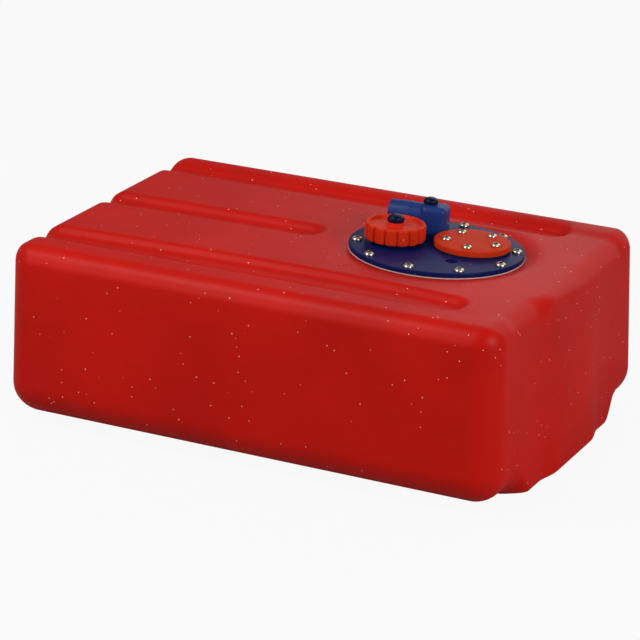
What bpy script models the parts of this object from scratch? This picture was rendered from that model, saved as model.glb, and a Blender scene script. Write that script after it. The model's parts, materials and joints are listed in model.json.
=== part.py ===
"""Under-seat fuel tank: a moulded shell with a tilted flange that carries the fittings.

Metres, +Z up. The origin is on the floor under the middle of the tank, X runs along
its length, and -Y is the front.
"""
import math

import bmesh
import bpy
from mathutils import Matrix, Vector

# Clearances
GAP = 0.0003
OVERRUN = 0.002
MERGE = 0.00001

# Tank shell
TANK_LENGTH = 0.550
TANK_WIDTH = 0.3766
RAIL_TOP = 0.1941
WALL = 0.005
DRAFT_SHARE = 0.027
PLAN_RADIUS = 0.0285
TOP_RADIUS = 0.020
BOTTOM_RADIUS = 0.034
CORNER_STEPS = 3

# Belly that the tank stands on: a low block with sloped flanks, well inside the sides
RAIL_LIFT = 0.0095
BELLY_MIDDLE = 0.004
BELLY_INSET = 0.0723
BELLY_FADE = 0.028
BELLY_CORNER = 0.016
BELLY_CORNER_FADE = 0.026
BELLY_RADIUS = 0.006
LEFT_BELLY_RADIUS = 0.020

# Pad on the right end: prouder and narrower towards the floor, with edges that
# are crisp at the top and the floor and fade out half way up
PAD_MIDDLE = 0.004
PAD_TOP_HALF = 0.072
PAD_TOP_PROUD = 0.0025
PAD_TOP_RADIUS = 0.005
PAD_BOTTOM_HALF = 0.061
PAD_BOTTOM_PROUD = 0.0070
PAD_CRISP_FADE = 0.014
PAD_SOFT_FADE = 0.060

# Grooves along the top: the place across the tank, and how far each one runs
SIDE_GROOVE_INSET = 0.0573
GROOVE_MIDDLE = 0.005
GROOVE_HALF = 0.021
GROOVE_SHOULDER = 0.012
GROOVE_DEPTH = 0.008
SIDE_GROOVE_STOP = 0.059
MIDDLE_GROOVE_CLEAR = 0.0203

# Crown of the lands between the rails, which leans back and falls away to the right end
CROWN_RISE = 0.0030
CROWN_X = 0.030
CROWN_Y = -0.060
CROWN_REACH = 0.310
CROWN_LEAN_SHARE = 0.022
END_FALL = 0.0031
END_FALL_START = 0.060
END_FALL_REACH = 0.195

# Seat of the flange
FLANGE_INSET = 0.1557
FLANGE_Y = 0.0130
SEAT_DROP = 0.00175
SEAT_TILT = math.radians(3.04)
SEAT_TILT_HEADING = math.radians(54.1)
SEAT_RADIUS = 0.092
DISH_RADIUS = 0.104
DISH_RISE = 0.0042
OPENING_RADIUS = 0.071
SEAT_BOSS_DEPTH = 0.015

# Flange plate
PLATE_RADIUS = 0.090
PLATE_THICKNESS = 0.0046
PLATE_EDGE = 0.0012
GASKET_THICKNESS = 0.0010
SCREW_CIRCLE = 0.0817
SCREW_COUNT = 10
SCREW_START = math.radians(-157.75)
PORT_MARK_X = 0.0332
PORT_MARK_Y = -0.0376
PORT_MARK_RADIUS = 0.0062
PORT_MARK_DEPTH = 0.0015
PORT_PILOT_RADIUS = 0.0030
PORT_PILOT_DEPTH = 0.0038

# Flange screws and the threaded inserts that take them
M6_SHANK = 0.0030
M6_HEAD_RADIUS = 0.00525
M6_HEAD_HEIGHT = 0.0031
M6_LENGTH = 0.0160
M6_HOLE = 0.0034
DOME_TOP_SHARE = 0.45
DOME_SIDE_SHARE = 0.84
DOME_HIGH_SHARE = 0.70
DOME_LOW_SHARE = 0.15
INSERT_RADIUS = 0.0045
INSERT_LENGTH = 0.0110

# Filler neck and cap
CAP_X = -0.0421
CAP_Y = -0.0124
NECK_RADIUS = 0.0230
NECK_BORE = 0.0190
NECK_HEIGHT = 0.0140
NECK_DROP = 0.0180
CAP_RADIUS = 0.0314
CAP_LOBES = 15
CAP_LOBE_START = math.radians(-61.2)
CAP_FLUTE_RADIUS = 0.0018
CAP_FLUTE_INSET = 0.0004
CAP_SKIRT_LIFT = 0.0040
CAP_HEIGHT = 0.0164
CAP_RECESS = 0.0030
CAP_RIM = 0.0050
CAP_EDGE = 0.0012
CAP_SEAL = 0.0012
CAP_BOSS_RADIUS = 0.0085
CAP_BOSS_HEIGHT = 0.0038

# Vent and bleed knobs
VENT_KNOB_RADIUS = 0.0088
VENT_KNOB_HEIGHT = 0.0077
BLEED_KNOB_RADIUS = 0.0078
BLEED_KNOB_HEIGHT = 0.0063
KNOB_DOME_SHARE = 0.59
KNOB_BRIM = 0.0026
KNOB_FLUTES = 8
KNOB_FLUTE_RADIUS = 0.0012
KNOB_STEM = 0.0028
KNOB_STEM_LENGTH = 0.0060
KNOB_HOLE = 0.0031
KNOB_SEAL_OUTER = 0.0058
KNOB_SEAL_THICKNESS = 0.0010

# Blanking cover on the gauge port
COVER_X = 0.0310
COVER_Y = 0.0187
COVER_RADIUS = 0.0396
COVER_THICKNESS = 0.0057
COVER_EDGE = 0.0010
COVER_GASKET = 0.0010
COVER_SCREW_CIRCLE = 0.0270
COVER_SCREW_COUNT = 5
COVER_SCREW_START = math.radians(-150.0)
GAUGE_PORT_RADIUS = 0.0215
GAUGE_BOSS_RADIUS = 0.0330
GAUGE_BOSS_DROP = 0.0070
M5_SHANK = 0.0025
M5_HEAD_RADIUS = 0.0047
M5_HEAD_HEIGHT = 0.0028
M5_LENGTH = 0.0160
M5_HOLE = 0.0029
M5_INSERT_RADIUS = 0.0036
M5_INSERT_LENGTH = 0.0085

# Outlet elbow
ELBOW_X = -0.02335
ELBOW_Y = 0.0438
ELBOW_HEADING = math.radians(189.4)
BLOCK_LENGTH = 0.0276
BLOCK_WIDTH = 0.0270
BLOCK_HEIGHT = 0.0288
BLOCK_CORNER = 0.0050
BLOCK_FILLET = 0.0045
ELBOW_BORE = 0.0080
TAIL_HEIGHT = 0.0164
TAIL_LENGTH = 0.0482
TAIL_NECK_RADIUS = 0.0124
TAIL_TIP_RADIUS = 0.0120
BARB_RADIUS = 0.0129
BARB_LENGTH = 0.0239
TAIL_LIP = 0.0010
BLEED_OFFSET = 0.0055
BLEED_BOSS_RADIUS = 0.0072
BLEED_BOSS_HEIGHT = 0.0007
SPIGOT_RADIUS = 0.0110
SPIGOT_LENGTH = 0.0240
SPIGOT_SOCKET = 0.0110
O_RING_SECTION = 0.00075
O_RING_POCKET = 0.0021
NUT_RADIUS = 0.0185
NUT_THICKNESS = 0.0060
NUT_SIDES = 8

# Pick-up tube and strainer
TUBE_RADIUS = 0.0060
TUBE_BORE = 0.0045
STRAINER_RADIUS = 0.0110
STRAINER_BORE = 0.0085
STRAINER_LENGTH = 0.0260
STRAINER_CLEAR = 0.0035
STRAINER_SLOT = 0.0020
STRAINER_SLOTS = 6

RED = (0.42, 0.010, 0.007)
ORANGE = (0.45, 0.030, 0.008)
BLUE = (0.016, 0.030, 0.110)
DARK_BLUE = (0.006, 0.008, 0.022)
STEEL = (0.62, 0.60, 0.55)
BRASS = (0.60, 0.42, 0.16)
BLACK = (0.02, 0.02, 0.02)
PALE = (0.55, 0.45, 0.38)

# Places that follow from the sizes above, in the tank's frame
FLANGE_X = TANK_LENGTH / 2 - FLANGE_INSET
SEAT_HEIGHT = RAIL_TOP - SEAT_DROP
GROOVE_PITCH = TANK_WIDTH / 2 - SIDE_GROOVE_INSET
SIDE_GROOVE_END = TANK_LENGTH / 2 - SIDE_GROOVE_STOP
MIDDLE_GROOVE_END = FLANGE_X - DISH_RADIUS - MIDDLE_GROOVE_CLEAR
BELLY_HALF = TANK_WIDTH / 2 - BELLY_INSET

# Heights that follow from the sizes above, in the flange's own frame
PLATE_LOW = 2 * GAP + GASKET_THICKNESS
PLATE_TOP = PLATE_LOW + PLATE_THICKNESS
NECK_TOP = PLATE_TOP + NECK_HEIGHT
CAP_UNDERSIDE = NECK_TOP + 2 * GAP + CAP_SEAL
CAP_TOP = PLATE_TOP + CAP_SKIRT_LIFT + CAP_HEIGHT
CAP_FLOOR = CAP_TOP - CAP_RECESS
CAP_BOSS_TOP = CAP_FLOOR + CAP_BOSS_HEIGHT
BLOCK_TOP = PLATE_TOP + GAP + BLOCK_HEIGHT
BLEED_BOSS_TOP = BLOCK_TOP + BLEED_BOSS_HEIGHT
COVER_LOW = PLATE_TOP + 2 * GAP + COVER_GASKET
COVER_TOP = COVER_LOW + COVER_THICKNESS
SPIGOT_LOW = PLATE_TOP - SPIGOT_LENGTH
TAIL_AXIS = PLATE_TOP + TAIL_HEIGHT
STRAINER_LOW = -(SEAT_HEIGHT - WALL - STRAINER_CLEAR) / math.cos(SEAT_TILT)


def clear_scene():
    for obj in list(bpy.data.objects):
        bpy.data.objects.remove(obj, do_unlink=True)


def new_collection(name):
    collection = bpy.data.collections.new(name)
    bpy.context.scene.collection.children.link(collection)
    return collection


def new_material(name, color, roughness, metallic=0.0):
    material = bpy.data.materials.new(name)
    material.use_nodes = True
    shader = material.node_tree.nodes["Principled BSDF"]
    shader.inputs["Base Color"].default_value = (*color, 1.0)
    shader.inputs["Roughness"].default_value = roughness
    shader.inputs["Metallic"].default_value = metallic
    material.diffuse_color = (*color, 1.0)
    return material


def add_object(name, mesh, parent=None, material=None):
    obj = bpy.data.objects.new(name, mesh)
    if material is None:
        CUTTERS.objects.link(obj)
        obj.hide_render = True
        obj.display_type = "WIRE"
    else:
        PARTS.objects.link(obj)
        mesh.materials.append(material)
    obj.parent = parent
    return obj


def to_mesh(name, bm, smooth=False):
    mesh = bpy.data.meshes.new(name)
    bm.to_mesh(mesh)
    bm.free()
    if smooth:
        mesh.shade_smooth()
        mesh.set_sharp_from_angle(angle=math.radians(35))
    return mesh


def turned(name, profile, parent, material=None, steps=48, place=(0, 0), closed=False):
    """A body of revolution: the profile runs down its outer side, as (radius, height)."""
    bm = bmesh.new()
    points = [bm.verts.new((radius, 0, height)) for radius, height in profile]
    for first, second in zip(points, points[1:]):
        bm.edges.new((first, second))
    if closed:
        bm.edges.new((points[-1], points[0]))
    obj = add_object(name, to_mesh(name, bm), parent, material)
    obj.location = (place[0], place[1], 0)
    screw = obj.modifiers.new("Turn", "SCREW")
    screw.axis = "Z"
    screw.steps = steps
    screw.render_steps = steps
    screw.use_merge_vertices = True
    screw.merge_threshold = MERGE
    screw.use_smooth_shade = True
    return obj


def ring(name, outer, inner, low, high, parent, material=None, steps=48, place=(0, 0)):
    profile = [(outer, high), (outer, low), (inner, low), (inner, high)]
    return turned(name, profile, parent, material, steps, place, closed=True)


def rod(name, radius, low, high, parent, material=None, steps=24, place=(0, 0)):
    """A plain cylinder between two heights."""
    bm = bmesh.new()
    bmesh.ops.create_cone(bm, cap_ends=True, cap_tris=False, segments=steps, radius1=radius, radius2=radius,
                          depth=high - low, matrix=Matrix.Translation((0, 0, (low + high) / 2)))
    obj = add_object(name, to_mesh(name, bm, smooth=True), parent, material)
    obj.location = (place[0], place[1], 0)
    return obj


def arc(middle_radius, middle_height, radius, start, end, steps):
    """Points of a round corner of a profile, from one angle to another, in degrees."""
    points = []
    for step in range(steps + 1):
        angle = math.radians(start + (end - start) * step / steps)
        points.append((middle_radius + radius * math.cos(angle), middle_height + radius * math.sin(angle)))
    return points


def combine(target, tool, operation="DIFFERENCE"):
    boolean = target.modifiers.new(operation.title(), "BOOLEAN")
    boolean.operation = operation
    boolean.solver = "EXACT"
    boolean.object = tool


def circle_places(count, radius, start, middle=(0, 0)):
    places = []
    for index in range(count):
        angle = start + 2 * math.pi * index / count
        places.append((middle[0] + radius * math.cos(angle), middle[1] + radius * math.sin(angle)))
    return places


def repeated_cuts(name, bm_one, places, parent):
    """One cutter that holds a copy of a small body at each place."""
    source = bpy.data.meshes.new(name + "_source")
    bm_one.to_mesh(source)
    bm_one.free()
    bm = bmesh.new()
    for x, y in places:
        kept = len(bm.verts)
        bm.from_mesh(source)
        bm.verts.ensure_lookup_table()
        bmesh.ops.translate(bm, vec=(x, y, 0), verts=bm.verts[kept:])
    bpy.data.meshes.remove(source)
    return add_object(name, to_mesh(name, bm), parent)


def repeated_parts(name, bm_one, places, parent, material):
    """A numbered object at each place; they all share one mesh."""
    mesh = to_mesh(name, bm_one, smooth=True)
    mesh.materials.append(material)
    for number, (x, y) in enumerate(places, start=1):
        obj = bpy.data.objects.new(f"{name}_{number}", mesh)
        PARTS.objects.link(obj)
        obj.parent = parent
        obj.location = (x, y, 0)


def lathe_bmesh(profile, steps, closed=False):
    """A turned body spun straight into a bmesh; open ends get one flat face each."""
    bm = bmesh.new()
    points = [bm.verts.new((radius, 0, height)) for radius, height in profile]
    edges = [bm.edges.new(pair) for pair in zip(points, points[1:])]
    if closed:
        edges.append(bm.edges.new((points[-1], points[0])))
    bmesh.ops.spin(bm, geom=points + edges, cent=(0, 0, 0), axis=(0, 0, 1), angle=2 * math.pi,
                   steps=steps, use_merge=True)
    bmesh.ops.remove_doubles(bm, verts=bm.verts, dist=MERGE)
    bmesh.ops.holes_fill(bm, edges=bm.edges, sides=0)
    bmesh.ops.recalc_face_normals(bm, faces=bm.faces)
    return bm


def smooth_step(value, low, high):
    share = min(max((value - low) / (high - low), 0.0), 1.0)
    return share * share * (3 - 2 * share)


def mix(first, second, share):
    return first + (second - first) * share


def groove_middles():
    return [GROOVE_MIDDLE + GROOVE_PITCH * index for index in (-1, 0, 1)]


def groove_depth(x, y):
    """Depth of the three grooves at a place on the top; each has a round right end."""
    depth = 0.0
    for index, middle in enumerate(groove_middles()):
        end = MIDDLE_GROOVE_END if index == 1 else SIDE_GROOVE_END
        beyond = max(x - (end - GROOVE_HALF), 0.0)
        distance = math.hypot(beyond, y - middle)
        fall = 1 - smooth_step(distance, GROOVE_HALF - GROOVE_SHOULDER, GROOVE_HALF)
        depth = max(depth, GROOVE_DEPTH * fall)
    return depth


def land_crown(x, y):
    """Rise of the lands over the rails; it fades out over the two side grooves."""
    low, high = groove_middles()[0], groove_middles()[-1]
    off_rail = smooth_step(y, low - GROOVE_HALF, low) * (1 - smooth_step(y, high, high + GROOVE_HALF))
    rise = CROWN_RISE - CROWN_LEAN_SHARE * (y - CROWN_Y)
    bow = ((x - CROWN_X) / CROWN_REACH) ** 2
    fall = END_FALL * (max(x - END_FALL_START, 0.0) / END_FALL_REACH) ** 2
    return (rise * (1 - bow) - fall) * off_rail


def seat_level(x, y):
    """Height of the tilted seat plane."""
    along = (x - FLANGE_X) * math.cos(SEAT_TILT_HEADING) + (y - FLANGE_Y) * math.sin(SEAT_TILT_HEADING)
    return SEAT_HEIGHT - along * math.tan(SEAT_TILT)


def top_level(x, y, inset):
    level = RAIL_TOP + land_crown(x, y) - groove_depth(x, y) - inset
    if inset > 0:
        reach = math.hypot(x - FLANGE_X, y - FLANGE_Y)
        boss = 1 - smooth_step(reach, DISH_RADIUS, DISH_RADIUS + SEAT_BOSS_DEPTH)
        level = mix(level, seat_level(x, y) - SEAT_BOSS_DEPTH, boss)
    return level


def belly_share(y):
    return 1 - smooth_step(abs(y - BELLY_MIDDLE), BELLY_HALF, BELLY_HALF + BELLY_FADE)


def pad_share(y, height_share):
    """How far a place on the right end belongs to the pad, at a share of the tank's height."""
    half = mix(PAD_BOTTOM_HALF, PAD_TOP_HALF, height_share)
    fade = mix(PAD_CRISP_FADE, PAD_SOFT_FADE, 4 * height_share * (1 - height_share)) / 2
    return 1 - smooth_step(abs(y - PAD_MIDDLE), half - fade, half + fade)


def end_radius(y, right, top):
    """Radius of the long edge where an end meets the top or the bottom."""
    if top:
        return mix(TOP_RADIUS, PAD_TOP_RADIUS, pad_share(y, 1)) if right else TOP_RADIUS
    corner = BELLY_HALF - BELLY_CORNER
    outside = smooth_step(abs(y - BELLY_MIDDLE), corner, corner + BELLY_CORNER_FADE)
    return mix(BELLY_RADIUS if right else LEFT_BELLY_RADIUS, BOTTOM_RADIUS, outside)


def axis_stations(marks):
    """Places along one axis of the box: corner steps, then the marks, then corner steps."""
    corner = [math.tan(math.radians(45) * step / CORNER_STEPS) for step in range(1, CORNER_STEPS + 1)]
    low = [(share, -1, None) for share in reversed(corner)] + [(0.0, -1, None)]
    high = [(0.0, 1, None)] + [(share, 1, None) for share in corner]
    return low + [(0.0, 0, mark) for mark in marks] + high


def gridded_box(counts):
    """A cube cut into unit cells, as many along each axis as its stations ask for."""
    bm = bmesh.new()
    bmesh.ops.create_cube(bm, size=1.0)
    for vert in bm.verts:
        vert.co = Vector([counts[axis] if vert.co[axis] > 0 else 0 for axis in range(3)])
    for axis in range(3):
        normal = Vector([1.0 if index == axis else 0.0 for index in range(3)])
        for cut in range(1, counts[axis]):
            bmesh.ops.bisect_plane(bm, geom=bm.verts[:] + bm.edges[:] + bm.faces[:],
                                   plane_co=normal * cut, plane_no=normal)
    return bm


def shell_point(stations, cell, inset):
    """Where a cell corner of the gridded box lies on the moulded form."""
    (share_x, side_x, mark_x), (share_y, side_y, mark_y), (share_z, side_z, mark_z) = [
        stations[axis][round(cell[axis])] for axis in range(3)]
    length = math.hypot(share_x, share_y, share_z)
    if length > 0:
        round_x, round_y, round_z = (share / length for share in (share_x, share_y, share_z))
    plan = PLAN_RADIUS - inset
    half_x, half_y = TANK_LENGTH / 2 - inset, TANK_WIDTH / 2 - inset
    rim = (TOP_RADIUS if side_z > 0 else BOTTOM_RADIUS) - inset
    y_radius = mix(plan, rim, share_z ** 2 / max(share_x ** 2 + share_z ** 2, MERGE))
    y = mark_y if side_y == 0 else side_y * (half_y - y_radius + y_radius * round_y)
    edge = max(end_radius(y, side_x > 0, side_z > 0) - inset, PAD_TOP_RADIUS / 2)
    x_radius = mix(plan, edge, share_z ** 2 / max(share_y ** 2 + share_z ** 2, MERGE))
    x = mark_x if side_x == 0 else side_x * (half_x - x_radius + x_radius * round_x)
    z_radius = mix(rim, edge, share_x ** 2 / max(share_x ** 2 + share_y ** 2, MERGE))
    top = top_level(x, y, inset)
    bottom = RAIL_LIFT * (1 - belly_share(y)) + inset
    if side_z == 0:
        z = mark_z
    elif side_z > 0:
        z = top - z_radius + z_radius * round_z
    else:
        z = bottom + z_radius - z_radius * round_z
    if side_x > 0:
        height_share = min(max(z / RAIL_TOP, 0.0), 1.0)
        proud = mix(PAD_BOTTOM_PROUD, PAD_TOP_PROUD, height_share)
        x += proud * pad_share(y, height_share) * max(round_x, 0.0)
    lean = DRAFT_SHARE * (z - RAIL_TOP / 2)
    if side_x != 0:
        x -= side_x * lean
    if side_y != 0:
        y -= side_y * lean
    return Vector((x, y, z))


def shell_form(name, inset, marks_x, marks_y, marks_z, flatness):
    stations = [axis_stations(marks) for marks in (marks_x, marks_y, marks_z)]
    counts = [len(places) - 1 for places in stations]
    bm = gridded_box(counts)
    for vert in bm.verts:
        vert.co = shell_point(stations, vert.co.copy(), inset)
    bmesh.ops.remove_doubles(bm, verts=bm.verts, dist=MERGE)
    bmesh.ops.dissolve_limit(bm, angle_limit=flatness, verts=bm.verts, edges=bm.edges)
    bmesh.ops.triangulate(bm, faces=[face for face in bm.faces if len(face.verts) > 4])
    bmesh.ops.recalc_face_normals(bm, faces=bm.faces)
    return to_mesh(name, bm, smooth=True)


def groove_marks(steps):
    """Places across the tank that catch the floor and shoulders of each groove."""
    floor = GROOVE_HALF - GROOVE_SHOULDER
    offsets = [floor + GROOVE_SHOULDER * step / steps for step in range(steps + 1)]
    marks = []
    for middle in groove_middles():
        marks += [middle - offset for offset in reversed(offsets)] + [middle]
        marks += [middle + offset for offset in offsets]
    return marks


def run_marks(steps):
    """Places along the tank that catch the round ends of the grooves."""
    marks = []
    for end in (MIDDLE_GROOVE_END, SIDE_GROOVE_END):
        start = end - GROOVE_HALF - GROOVE_SHOULDER
        marks += [mix(start, end, math.sin(math.pi / 2 * step / steps)) for step in range(steps + 1)]
    return marks


def pad_marks():
    """Places across the tank that catch the pad's two edges, at the floor and at the top."""
    offsets = [PAD_TOP_HALF - PAD_SOFT_FADE / 2, PAD_BOTTOM_HALF, PAD_TOP_HALF, PAD_TOP_HALF + PAD_CRISP_FADE / 2]
    return [PAD_MIDDLE - offset for offset in reversed(offsets)] + [PAD_MIDDLE + offset for offset in offsets]


def spread(low, high, count):
    return [mix(low, high, step / (count + 1)) for step in range(1, count + 1)]


def make_tank_shell(frame):
    left = -TANK_LENGTH / 2 + PLAN_RADIUS
    marks_x = sorted(spread(left, MIDDLE_GROOVE_END - 2 * GROOVE_HALF, 3) + run_marks(5)
                     + spread(MIDDLE_GROOVE_END, SIDE_GROOVE_END - 2 * GROOVE_HALF, 3))
    marks_y = sorted(groove_marks(3) + pad_marks() + [CROWN_Y / 2, -CROWN_Y / 2])
    marks_z = spread(RAIL_LIFT + BOTTOM_RADIUS, RAIL_TOP - TOP_RADIUS - GROOVE_DEPTH, 1)
    outer = shell_form("tank_shell", 0.0, marks_x, marks_y, marks_z, math.radians(0.8))
    tank = add_object("tank_shell", outer, None, new_material("tank_red", RED, 0.42))

    inner_x = sorted(spread(left, MIDDLE_GROOVE_END - 2 * GROOVE_HALF, 1) + run_marks(2)
                     + spread(FLANGE_X - DISH_RADIUS, FLANGE_X + DISH_RADIUS, 4))
    inner_y = sorted(groove_marks(1) + [CROWN_Y, -CROWN_Y])
    inner = shell_form("tank_hollow", WALL, inner_x, inner_y, marks_z, math.radians(3.0))
    hollow = add_object("tank_hollow", inner)

    dish_slope = (DISH_RADIUS - SEAT_RADIUS) / DISH_RISE
    dish_top = DISH_RISE * 4
    profile = [(0, dish_top), (SEAT_RADIUS + dish_slope * dish_top, dish_top), (SEAT_RADIUS, 0), (0, 0)]
    dish = turned("dish_cut", profile, frame, steps=64)
    opening = rod("opening_cut", OPENING_RADIUS, -2 * SEAT_BOSS_DEPTH, OVERRUN, frame, steps=48)
    places = circle_places(SCREW_COUNT, SCREW_CIRCLE, SCREW_START)
    pocket_radius = INSERT_RADIUS + GAP
    pocket = lathe_bmesh([(pocket_radius, OVERRUN), (pocket_radius, -INSERT_LENGTH - 2 * GAP)], 12)
    pockets = repeated_cuts("insert_cuts", pocket, places, frame)
    for cutter in (hollow, dish, opening, pockets):
        combine(tank, cutter)
    return tank


def make_seat_inserts(frame):
    bush = lathe_bmesh([(INSERT_RADIUS, -GAP), (INSERT_RADIUS, -INSERT_LENGTH), (M6_HOLE, -INSERT_LENGTH),
                        (M6_HOLE, -GAP)], 10, closed=True)
    places = circle_places(SCREW_COUNT, SCREW_CIRCLE, SCREW_START)
    repeated_parts("seat_insert", bush, places, frame, new_material("insert_brass", BRASS, 0.35, 1.0))


def screw_hole_cuts(name, count, circle, start, hole, low, high, frame, middle=(0, 0)):
    hole_body = lathe_bmesh([(hole, high), (hole, low)], 12)
    return repeated_cuts(name, hole_body, circle_places(count, circle, start, middle), frame)


def button_screw(shank, head_radius, head_height, length, seat):
    """A domed screw whose head sits just over the given height."""
    base = seat + GAP
    dome = [(head_radius * DOME_TOP_SHARE, base + head_height),
            (head_radius * DOME_SIDE_SHARE, base + head_height * DOME_HIGH_SHARE),
            (head_radius, base + head_height * DOME_LOW_SHARE), (head_radius, base), (shank, base),
            (shank, base - length)]
    return lathe_bmesh(dome, 12)


def make_flange_gasket(frame):
    outer = PLATE_RADIUS + GAP
    gasket = ring("flange_gasket", outer, OPENING_RADIUS + OVERRUN / 2, GAP, GAP + GASKET_THICKNESS, frame,
                  new_material("gasket_pale", PALE, 0.7), steps=56)
    combine(gasket, screw_hole_cuts("gasket_hole_cuts", SCREW_COUNT, SCREW_CIRCLE, SCREW_START, M6_HOLE,
                                    -OVERRUN, OVERRUN, frame))


def make_flange_plate(frame):
    edge = arc(PLATE_RADIUS - PLATE_EDGE, PLATE_TOP - PLATE_EDGE, PLATE_EDGE, 90, 0, 3)
    profile = [(0, PLATE_TOP)] + edge + [(PLATE_RADIUS, PLATE_LOW), (0, PLATE_LOW)]
    plate = turned("flange_plate", profile, frame, new_material("flange_blue", BLUE, 0.38), steps=56)
    neck_place, gauge_place, elbow_place = (CAP_X, CAP_Y), (COVER_X, COVER_Y), (ELBOW_X, ELBOW_Y)
    inside = PLATE_LOW + PLATE_THICKNESS / 2
    neck = rod("neck_join", NECK_RADIUS, PLATE_LOW - NECK_DROP, NECK_TOP, frame, steps=36, place=neck_place)
    boss = rod("gauge_boss_join", GAUGE_BOSS_RADIUS, PLATE_LOW - GAUGE_BOSS_DROP, inside, frame, steps=36,
               place=gauge_place)
    for part in (neck, boss):
        combine(plate, part, "UNION")
    cuts = [
        rod("neck_bore_cut", NECK_BORE, PLATE_LOW - NECK_DROP - OVERRUN, NECK_TOP + OVERRUN, frame, steps=36,
            place=neck_place),
        rod("gauge_port_cut", GAUGE_PORT_RADIUS, PLATE_LOW - GAUGE_BOSS_DROP - OVERRUN, PLATE_TOP + OVERRUN,
            frame, steps=36, place=gauge_place),
        rod("spigot_hole_cut", SPIGOT_RADIUS + GAP, PLATE_LOW - OVERRUN, PLATE_TOP + OVERRUN, frame, steps=32,
            place=elbow_place),
        rod("o_ring_pocket_cut", SPIGOT_RADIUS + GAP + 2 * O_RING_SECTION + 2 * GAP,
            PLATE_TOP - O_RING_POCKET, PLATE_TOP + OVERRUN, frame, steps=32, place=elbow_place),
        rod("port_mark_cut", PORT_MARK_RADIUS, PLATE_TOP - PORT_MARK_DEPTH, PLATE_TOP + OVERRUN, frame,
            place=(PORT_MARK_X, PORT_MARK_Y)),
        rod("port_pilot_cut", PORT_PILOT_RADIUS, PLATE_TOP - PORT_PILOT_DEPTH, PLATE_TOP + OVERRUN, frame,
            steps=16, place=(PORT_MARK_X, PORT_MARK_Y)),
        screw_hole_cuts("plate_hole_cuts", SCREW_COUNT, SCREW_CIRCLE, SCREW_START, M6_HOLE,
                        PLATE_LOW - OVERRUN, PLATE_TOP + OVERRUN, frame),
        screw_hole_cuts("gauge_insert_cuts", COVER_SCREW_COUNT, COVER_SCREW_CIRCLE, COVER_SCREW_START,
                        M5_INSERT_RADIUS + GAP, PLATE_LOW - GAUGE_BOSS_DROP - OVERRUN, PLATE_TOP + OVERRUN,
                        frame, gauge_place),
    ]
    for cut in cuts:
        combine(plate, cut)


def make_flange_screws(frame):
    screw = button_screw(M6_SHANK, M6_HEAD_RADIUS, M6_HEAD_HEIGHT, M6_LENGTH, PLATE_TOP)
    places = circle_places(SCREW_COUNT, SCREW_CIRCLE, SCREW_START)
    repeated_parts("flange_screw", screw, places, frame, new_material("screw_steel", STEEL, 0.25, 1.0))


def make_filler_cap(frame):
    low = PLATE_TOP + CAP_SKIRT_LIFT
    inner = NECK_RADIUS + 2 * GAP
    floor_radius = CAP_RADIUS - CAP_RIM
    profile = [(CAP_BOSS_RADIUS, CAP_BOSS_TOP), (CAP_BOSS_RADIUS, CAP_FLOOR), (floor_radius, CAP_FLOOR),
               (floor_radius + CAP_EDGE, CAP_TOP)]
    profile += arc(CAP_RADIUS - CAP_EDGE, CAP_TOP - CAP_EDGE, CAP_EDGE, 90, 0, 3)
    profile += [(CAP_RADIUS, low), (inner, low), (inner, CAP_UNDERSIDE), (0, CAP_UNDERSIDE)]
    profile.insert(0, (0, CAP_BOSS_TOP))
    cap = turned("filler_cap", profile, frame, new_material("cap_orange", ORANGE, 0.4), steps=60,
                 place=(CAP_X, CAP_Y))
    flute = lathe_bmesh([(CAP_FLUTE_RADIUS, CAP_TOP + OVERRUN), (CAP_FLUTE_RADIUS, low - OVERRUN)], 10)
    places = circle_places(CAP_LOBES, CAP_RADIUS - CAP_FLUTE_INSET, CAP_LOBE_START, (CAP_X, CAP_Y))
    combine(cap, repeated_cuts("cap_flute_cuts", flute, places, frame))
    combine(cap, rod("vent_hole_cut", KNOB_HOLE, CAP_UNDERSIDE - OVERRUN, CAP_BOSS_TOP + OVERRUN, frame,
                     steps=16, place=(CAP_X, CAP_Y)))
    combine(cap, rod("vent_seal_pocket_cut", KNOB_SEAL_OUTER + GAP, CAP_BOSS_TOP - KNOB_SEAL_THICKNESS - GAP,
                     CAP_BOSS_TOP + OVERRUN, frame, place=(CAP_X, CAP_Y)))
    ring("cap_seal", NECK_RADIUS, NECK_BORE, NECK_TOP + GAP, NECK_TOP + GAP + CAP_SEAL, frame,
         new_material("seal_black", BLACK, 0.6), steps=36, place=(CAP_X, CAP_Y))


def make_knob(name, seal_name, radius, height, seat, place, frame):
    """A small screw with a fluted mushroom head, and the flat seal under it."""
    base = seat + GAP
    shoulder = height - KNOB_BRIM
    profile = [(0, base + height)] + [
        (radius * KNOB_DOME_SHARE + (radius * (1 - KNOB_DOME_SHARE)) * math.sin(angle),
         base + KNOB_BRIM + shoulder * math.cos(angle))
        for angle in (math.radians(90) * step / 4 for step in range(5))]
    profile += [(radius, base), (KNOB_STEM, base), (KNOB_STEM, base - KNOB_STEM_LENGTH),
                (0, base - KNOB_STEM_LENGTH)]
    knob = turned(name, profile, frame, new_material(name + "_blue", DARK_BLUE, 0.35), steps=32, place=place)
    flute = lathe_bmesh([(KNOB_FLUTE_RADIUS, base + height), (KNOB_FLUTE_RADIUS, base - GAP)], 8)
    places = circle_places(KNOB_FLUTES, radius + KNOB_FLUTE_RADIUS / 2, 0, place)
    combine(knob, repeated_cuts(name + "_flute_cuts", flute, places, frame))
    ring(seal_name, KNOB_SEAL_OUTER, KNOB_HOLE, seat - KNOB_SEAL_THICKNESS, seat, frame,
         new_material(seal_name + "_black", BLACK, 0.6), steps=24, place=place)


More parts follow.
